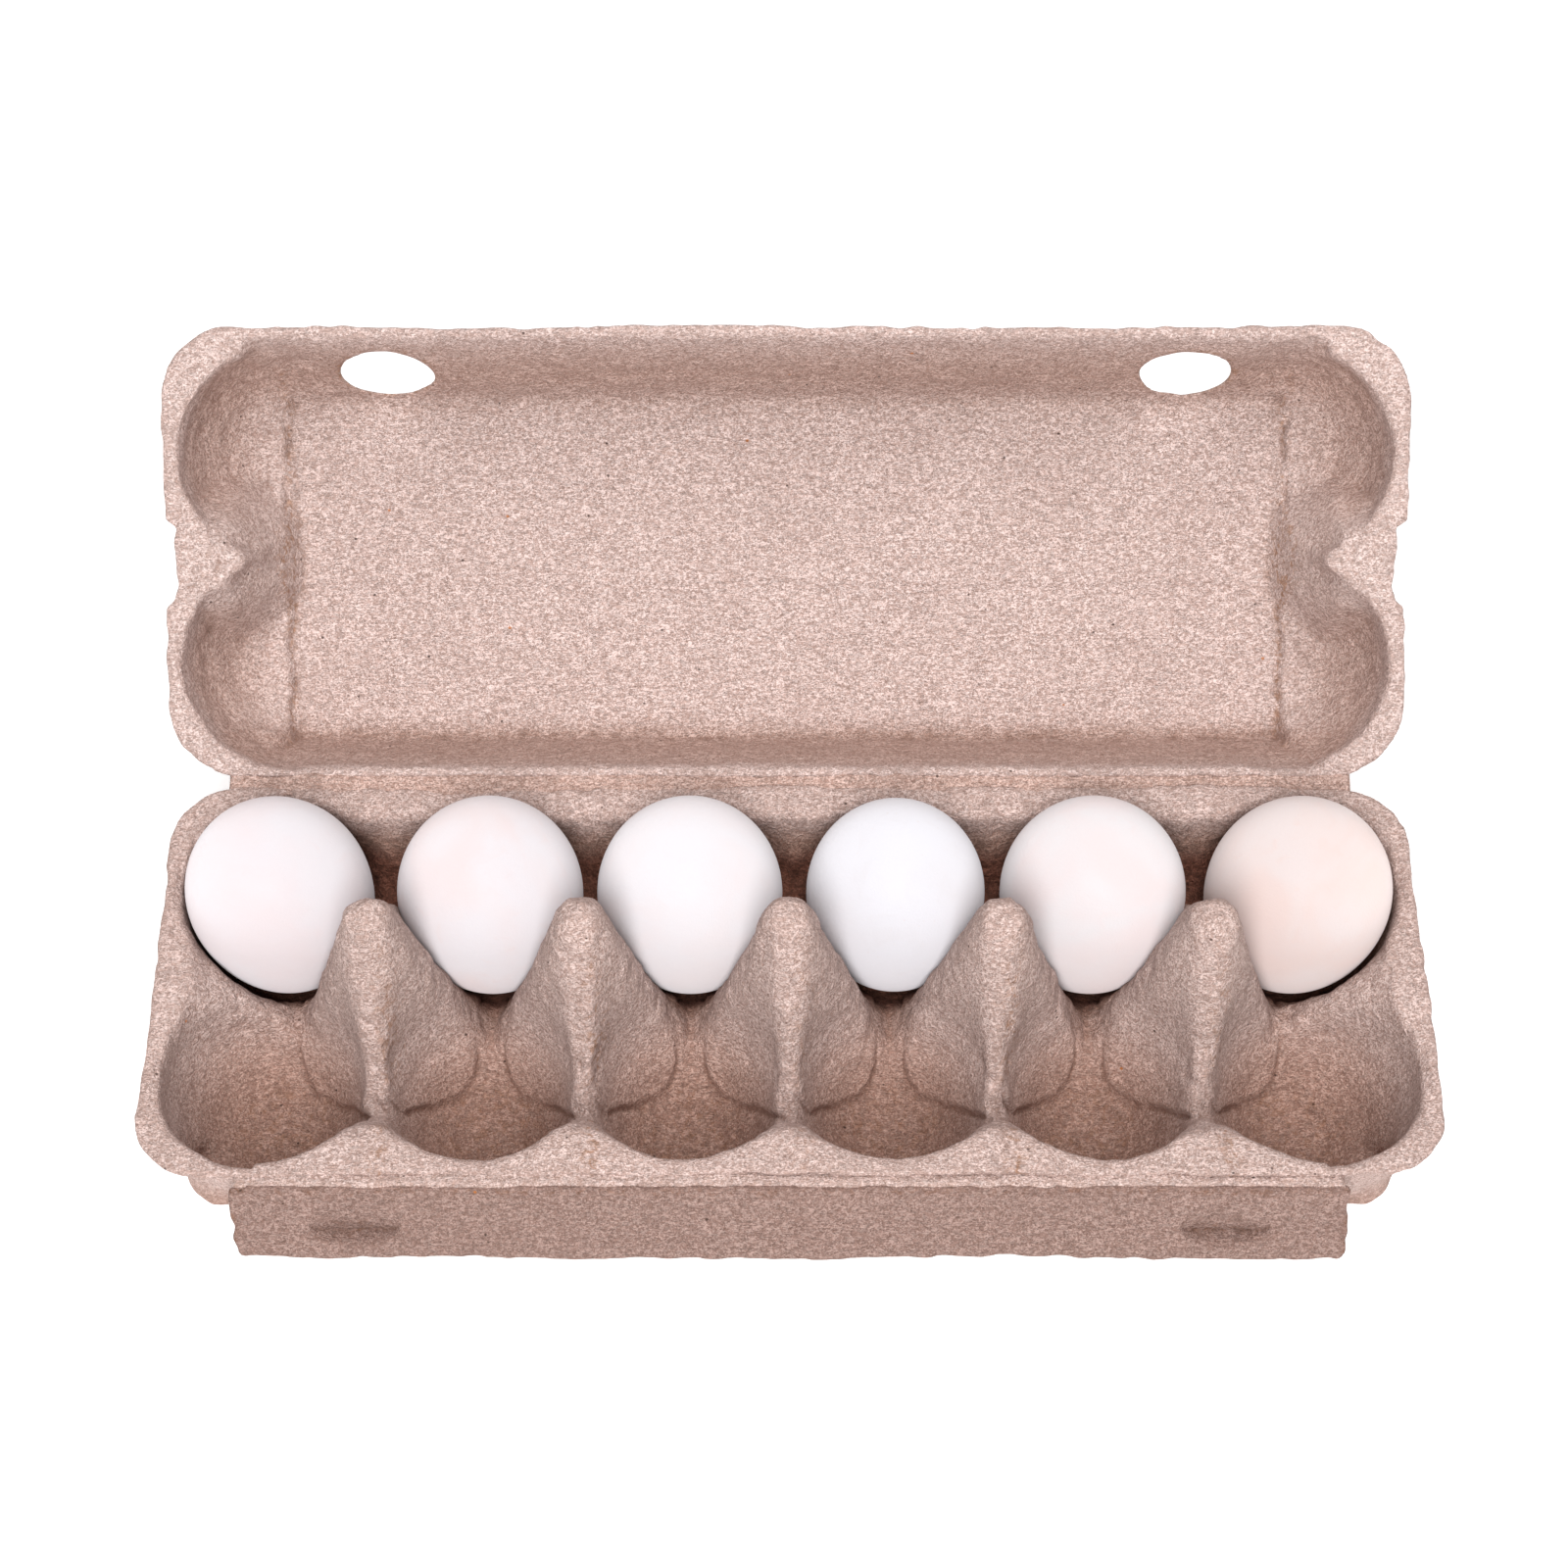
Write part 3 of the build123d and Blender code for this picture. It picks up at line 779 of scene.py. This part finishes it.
def pulp_material(name, tint):
    """Moulded recycled paper: mottled grey-pink fibre, with painted shade in hollows and deep
    places, and scuffed on ridges.
    """

    def tinted(red, green, blue):
        return (red * tint[0], green * tint[1], blue * tint[2], 1)

    n = Nodes(name)
    place = n.place()
    light = tinted(0.760, 0.600, 0.560)
    middle = tinted(0.480, 0.340, 0.300)
    dark = tinted(0.300, 0.185, 0.145)
    stain_and_shade = tinted(0.360, 0.180, 0.095)

    # the sheet's own mottle
    blotch = n.noise(place, 0.05, 3.0, 0.4)
    cloud = n.noise(place, 0.30, 3.0, 0.6)
    grain = n.noise(place, 1.05, 2.0, 0.5)
    fine = n.noise(place, 2.4, 1.0, 0.3)
    mottle = n.maths("ADD", n.maths("MULTIPLY", grain, 0.5), n.maths("MULTIPLY", fine, 0.5))
    colour = n.mix(n.ramp(mottle, 0.445, 0.555), middle, light)
    fleck = n.noise(n.place((1, 1.1, 1), (0.3, 0.2, 0.7)), 1.25, 1.0, 0.5)
    colour = n.mix(n.ramp(fleck, 0.60, 0.70, 0.0, 0.55), colour, dark)
    colour = n.mix(n.ramp(cloud, 0.40, 0.75, 0.0, 0.25), colour, middle)
    colour = n.mix(n.ramp(blotch, 0.45, 0.75, 0.0, 0.20), colour, middle)

    # dark and pale fibres
    streaks = fibre_streaks(n)
    colour = n.mix(n.maths("MULTIPLY", streaks, 0.28), colour, dark)
    pale = n.ramp(n.noise(n.place((0.6, 2.0, 2.0), (0.7, 0.1, 0.9)), 1.2, 0.0, 1.2), 0.66, 0.76)
    colour = n.mix(n.maths("MULTIPLY", pale, 0.35), colour, tinted(0.84, 0.71, 0.67))

    # painted shade darkens the grooves and the deep parts, and ridges are scuffed
    cavity = n.value_of("cavity")
    # painted shade in the grooves, by how far below its surroundings a place lies
    hollow = n.ramp(cavity, 0.04, 0.40, 0.0, 0.62)
    ridge = n.ramp(cavity, -0.04, -0.30, 0.0, 0.75)
    scuffs = n.ramp(n.noise(place, 0.75, 3.0, 1.2), 0.46, 0.60)
    colour = n.mix(hollow, colour, dark)
    colour = n.mix(n.maths("MULTIPLY", ridge, scuffs), colour, middle)
    # painted shade by depth: deep parts multiplied browner, with darker blotches of painted shade
    deep = n.value_of("painted_shade")
    colour = n.mix(deep, colour, n.mix(1.0, colour, (0.80, 0.66, 0.58, 1), "MULTIPLY"))
    shade_blotches = n.ramp(n.noise(place, 0.55, 3.0, 0.8), 0.47, 0.62, 0.0, 0.45)
    colour = n.mix(n.maths("MULTIPLY", deep, shade_blotches), colour, dark)
    # dark red-brown painted shade under the eggs in the back row
    under = n.ramp(deep, 1.0, 2.0, 0.0, 0.80)
    colour = n.mix(under, colour, n.mix(1.0, colour, (0.42, 0.20, 0.13, 1), "MULTIPLY"))
    # brown marks, some of them painted shade: on the cup floors and in the flap's dishes and fold
    patches = n.ramp(n.noise(place, 0.45, 3.0, 1.0), 0.46, 0.70)
    marks = n.maths("MULTIPLY", n.value_of("stain_and_shade"), patches)
    colour = n.mix(n.maths("MULTIPLY", marks, 0.75), colour, stain_and_shade)
    n.tree.links.new(add_specks(n, colour), n.shader.inputs["Base Color"])

    roughness = n.ramp(grain, 0.3, 0.7, 0.86, 0.96)
    n.tree.links.new(roughness, n.shader.inputs["Roughness"])
    n.shader.inputs["Specular IOR Level"].default_value = 0.25
    height = n.maths("ADD", n.maths("MULTIPLY", grain, 0.55), n.maths("MULTIPLY", fine, 0.30))
    height = n.maths("ADD", height, n.maths("MULTIPLY", streaks, -0.12))
    height = n.maths("ADD", height, n.maths("MULTIPLY", pale, 0.14))
    relief = n.add("ShaderNodeBump", {"Height": height, "Strength": 1.0, "Distance": 0.0012})
    n.tree.links.new(relief, n.shader.inputs["Normal"])
    return n.material


def egg_material(name, shell, mottle, speck_strength):
    """An eggshell: nearly white, with faint warm clouds, pores and a soft sheen."""
    n = Nodes(name)
    place = n.place()
    cloud = n.noise(place, 0.045, 3.0, 0.5)
    patch = n.noise(place, 0.22, 4.0, 0.8)
    pores = n.noise(place, 1.9, 3.0)
    colour = n.mix(n.ramp(cloud, 0.35, 0.70, 0.0, 0.8), shell, mottle)
    colour = n.mix(n.ramp(patch, 0.52, 0.78, 0.0, 0.45), colour, mottle)
    dots = n.ramp(n.noise(place, 0.85, 2.0), 0.70, 0.78, 0.0, speck_strength)
    colour = n.mix(dots, colour, (0.60, 0.52, 0.50, 1))
    n.tree.links.new(colour, n.shader.inputs["Base Color"])
    n.tree.links.new(n.ramp(pores, 0.3, 0.7, 0.42, 0.58), n.shader.inputs["Roughness"])
    n.shader.inputs["Specular IOR Level"].default_value = 0.12
    n.shader.inputs["Diffuse Roughness"].default_value = 0.8
    height = n.maths("ADD", n.maths("MULTIPLY", pores, 0.6), n.maths("MULTIPLY", patch, 0.8))
    relief = n.add("ShaderNodeBump", {"Height": height, "Strength": 0.35, "Distance": 0.00035})
    n.tree.links.new(relief, n.shader.inputs["Normal"])
    return n.material


# ---------------------------------------------------------------- the pieces
pulp_tray = pulp_material("pulp_tray", (0.93, 0.91, 0.90))
pulp_lid = pulp_material("pulp_lid", (1.0, 1.0, 1.0))
pulp_flap = pulp_material("pulp_flap", (0.50, 0.43, 0.40))

VOXEL = 0.65
low = (-HALF_LENGTH - 2.5, -HALF_WIDTH - 2.5, -2.0)
axes = grid_axes(low, (HALF_LENGTH + 2.5, HALF_WIDTH + 2.5, 73.5), VOXEL)
points, quads = mesh_from_field(tray_field(axes), low, VOXEL)
tray = add_mesh("tray", points, quads)
places = vertex_positions(tray) / MM
finish_pulp(tray, pulp_tray, tray_shade(places), tray_stain_and_shade(places))
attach(tray, "tray")
cells = [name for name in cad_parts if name.startswith("egg_cell_")]
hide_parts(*cells)

low = (-LID_LENGTH - 2.5, -1.5, -35.0)
axes = grid_axes(low, (LID_LENGTH + 2.5, LID_REACH + 2.5, 3.0), VOXEL)
points, quads = mesh_from_field(lid_field(axes), low, VOXEL)
lid = add_mesh("lid", lid_to_world(points), quads)
finish_pulp(lid, pulp_lid, lid_wall_shade(points), lid_stain(points))
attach(lid, "lid")
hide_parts("lid_panel", "lid_front_wall", "lid_back_wall", "lid_left_end", "lid_right_end")

FLAP_VOXEL = 0.5
low = (-FLAP_LENGTH - 2.0, -1.0, -3.5)
axes = grid_axes(low, (FLAP_LENGTH + 2.0, FLAP_REACH + 2.0, 7.0), FLAP_VOXEL)
points, quads = mesh_from_field(flap_field(axes), low, FLAP_VOXEL)
flap = add_mesh("flap", flap_to_world(points), quads)
finish_pulp(flap, pulp_flap, np.zeros(len(points)), flap_shade_and_stain(points))
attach(flap, "flap")
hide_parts("lock_flap")

lid_edge = lid_to_world(np.array([[0.0, 1.7, -1.0]]))[0]
strip = fold_strip(
    "lid_hinge_strip",
    136.5,
    [(49.4, 38.9), (51.2, 39.2), (52.8, 39.7), (lid_edge[1], lid_edge[2])],
    STRIP_THICK,
    61,
)
plain = np.zeros(len(strip.data.vertices))
# painted shade over the whole lid hinge strip
finish_pulp(strip, pulp_lid, plain + 0.6, plain)
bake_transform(strip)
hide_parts("lid_fold")

flap_edge = flap_to_world(np.array([[0.0, 1.6, 0.0]]))[0]
strip = fold_strip(
    "flap_hinge_strip",
    125.2,
    [(-49.4, 38.8), (-51.2, 39.1), (-52.8, 39.4), (flap_edge[1], flap_edge[2])][::-1],
    STRIP_THICK,
    62,
)
plain = np.zeros(len(strip.data.vertices))
finish_pulp(strip, pulp_tray, plain, plain + 0.2)
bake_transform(strip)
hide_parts("flap_fold")

# Each egg's shell colour, its cloud colour and how strong its specks are
SHELLS = (
    ((0.62, 0.59, 0.61, 1), (0.63, 0.56, 0.57, 1), 0.05),
    ((0.62, 0.59, 0.61, 1), (0.63, 0.55, 0.55, 1), 0.05),
    ((0.63, 0.61, 0.63, 1), (0.64, 0.59, 0.60, 1), 0.08),
    ((0.62, 0.61, 0.64, 1), (0.60, 0.58, 0.60, 1), 0.40),
    ((0.62, 0.59, 0.60, 1), (0.64, 0.56, 0.56, 1), 0.05),
    ((0.62, 0.55, 0.54, 1), (0.63, 0.51, 0.48, 1), 0.05),
)
eggs = zip(EGG_X, EGG_LEAN, EGG_DIAMETER, SHELLS)
for number, (x, lean, diameter, look) in enumerate(eggs, start=1):
    egg = egg_mesh(f"eggshell_{number}", x, lean, diameter)
    egg.data.materials.append(egg_material(f"eggshell_{number}", *look))
    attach(egg, f"egg_{number}")
    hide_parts(f"egg_{number}")

# ---------------------------------------------------------------- floor, light and camera
floor_mesh = bpy.data.meshes.new("floor")
reach = 6.0
floor_mesh.from_pydata(
    [(-reach, -reach, 0), (reach, -reach, 0), (reach, reach, 0), (-reach, reach, 0)],
    [],
    [(0, 1, 2, 3)],
)
floor = bpy.data.objects.new("floor", floor_mesh)
bpy.context.scene.collection.objects.link(floor)
floor.location.z = -0.0005
floor_nodes = Nodes("floor")
floor_nodes.shader.inputs["Base Color"].default_value = (0.86, 0.86, 0.86, 1)
floor_nodes.shader.inputs["Roughness"].default_value = 0.9
floor_nodes.shader.inputs["Emission Color"].default_value = (1, 1, 1, 1)
floor_nodes.shader.inputs["Emission Strength"].default_value = 0.35
floor.data.materials.append(floor_nodes.material)
floor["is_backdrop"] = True

world = bpy.data.worlds.new("studio")
world.use_nodes = True
world.node_tree.nodes["Background"].inputs["Color"].default_value = (1.0, 0.99, 0.985, 1)
world.node_tree.nodes["Background"].inputs["Strength"].default_value = 0.38
bpy.context.scene.world = world


def area_light(name, place, aim, size, power):
    """A round soft light at place, turned towards aim."""
    lamp = bpy.data.lights.new(name, "AREA")
    lamp.shape = "DISK"
    lamp.size = size
    lamp.energy = power
    obj = bpy.data.objects.new(name, lamp)
    bpy.context.scene.collection.objects.link(obj)
    obj.location = place
    obj.rotation_euler = (Vector(aim) - Vector(place)).to_track_quat("-Z", "Y").to_euler()
    return obj


area_light("key", (-0.10, -0.95, 1.15), (0, 0.05, 0.02), 0.9, 24)
area_light("top", (0.25, 0.35, 1.5), (0, 0.05, 0), 1.0, 12)

camera = bpy.data.cameras.new("camera")
camera.lens = 66.1
camera.sensor_width = 36
camera.shift_x = -0.00375
camera.shift_y = 0.0059
camera.dof.use_dof = False
camera_object = bpy.data.objects.new("camera", camera)
bpy.context.scene.collection.objects.link(camera_object)
CAMERA_DISTANCE = 700.2
ELEVATION = math.radians(58.58)
AIM = (0.0, 49.45, 40.0)
camera_object.location = (
    AIM[0] * MM,
    (AIM[1] - CAMERA_DISTANCE * math.cos(ELEVATION)) * MM,
    (AIM[2] + CAMERA_DISTANCE * math.sin(ELEVATION)) * MM,
)
camera_object.rotation_euler = (math.pi / 2 - ELEVATION, 0, 0)
bpy.context.scene.camera = camera_object
bpy.context.scene.view_settings.view_transform = "Standard"

low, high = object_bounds()
